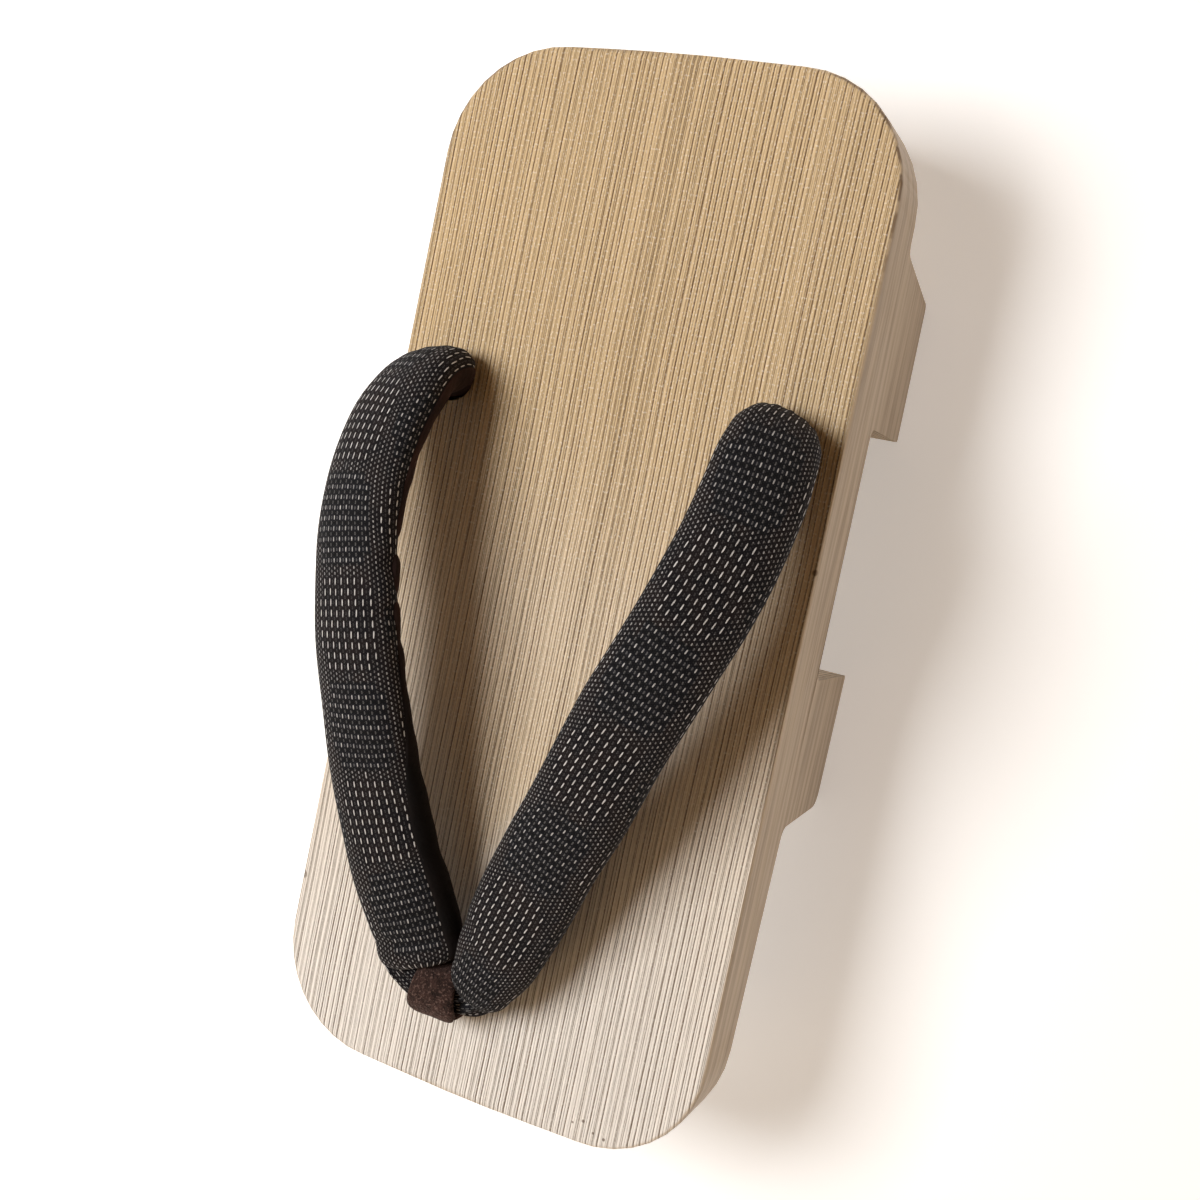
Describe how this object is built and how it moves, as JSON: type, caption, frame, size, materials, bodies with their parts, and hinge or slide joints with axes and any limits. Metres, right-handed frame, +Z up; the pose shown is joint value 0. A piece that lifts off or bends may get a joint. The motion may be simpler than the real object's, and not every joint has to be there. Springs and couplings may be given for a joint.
{
  "type": "geta sandal",
  "caption": "Wooden geta sandal: cedar board with two teeth and a padded V-shaped cloth thong held by a toe loop; left foot of a pair.",
  "frame": {"origin": "on the ground under the middle of the base: the centre of the bottom of the bounding box", "axes": "+Z up; +Y towards the heel and -Y towards the toes; +X towards the outer (little toe) side of this left shoe"},
  "size_m": [0.1166, 0.255, 0.0808],
  "materials": {
    "cedar": "quarter-sawn cedar brushed along the grain into fine raised lines, pale straw with brown grain",
    "strap_cloth": "padded charcoal cotton with rows of off-white running stitches in alternating checks",
    "loop_felt": "dark brown napped felt",
    "knot_cord": "plain hemp cord"
  },
  "bodies": {
    "root": {"sole": "cedar", "strap": "strap_cloth", "toe_loop": "loop_felt", "toe_knot": "knot_cord", "heel_knot_inner": "knot_cord", "heel_knot_outer": "knot_cord"}
  },
  "joints": []
}
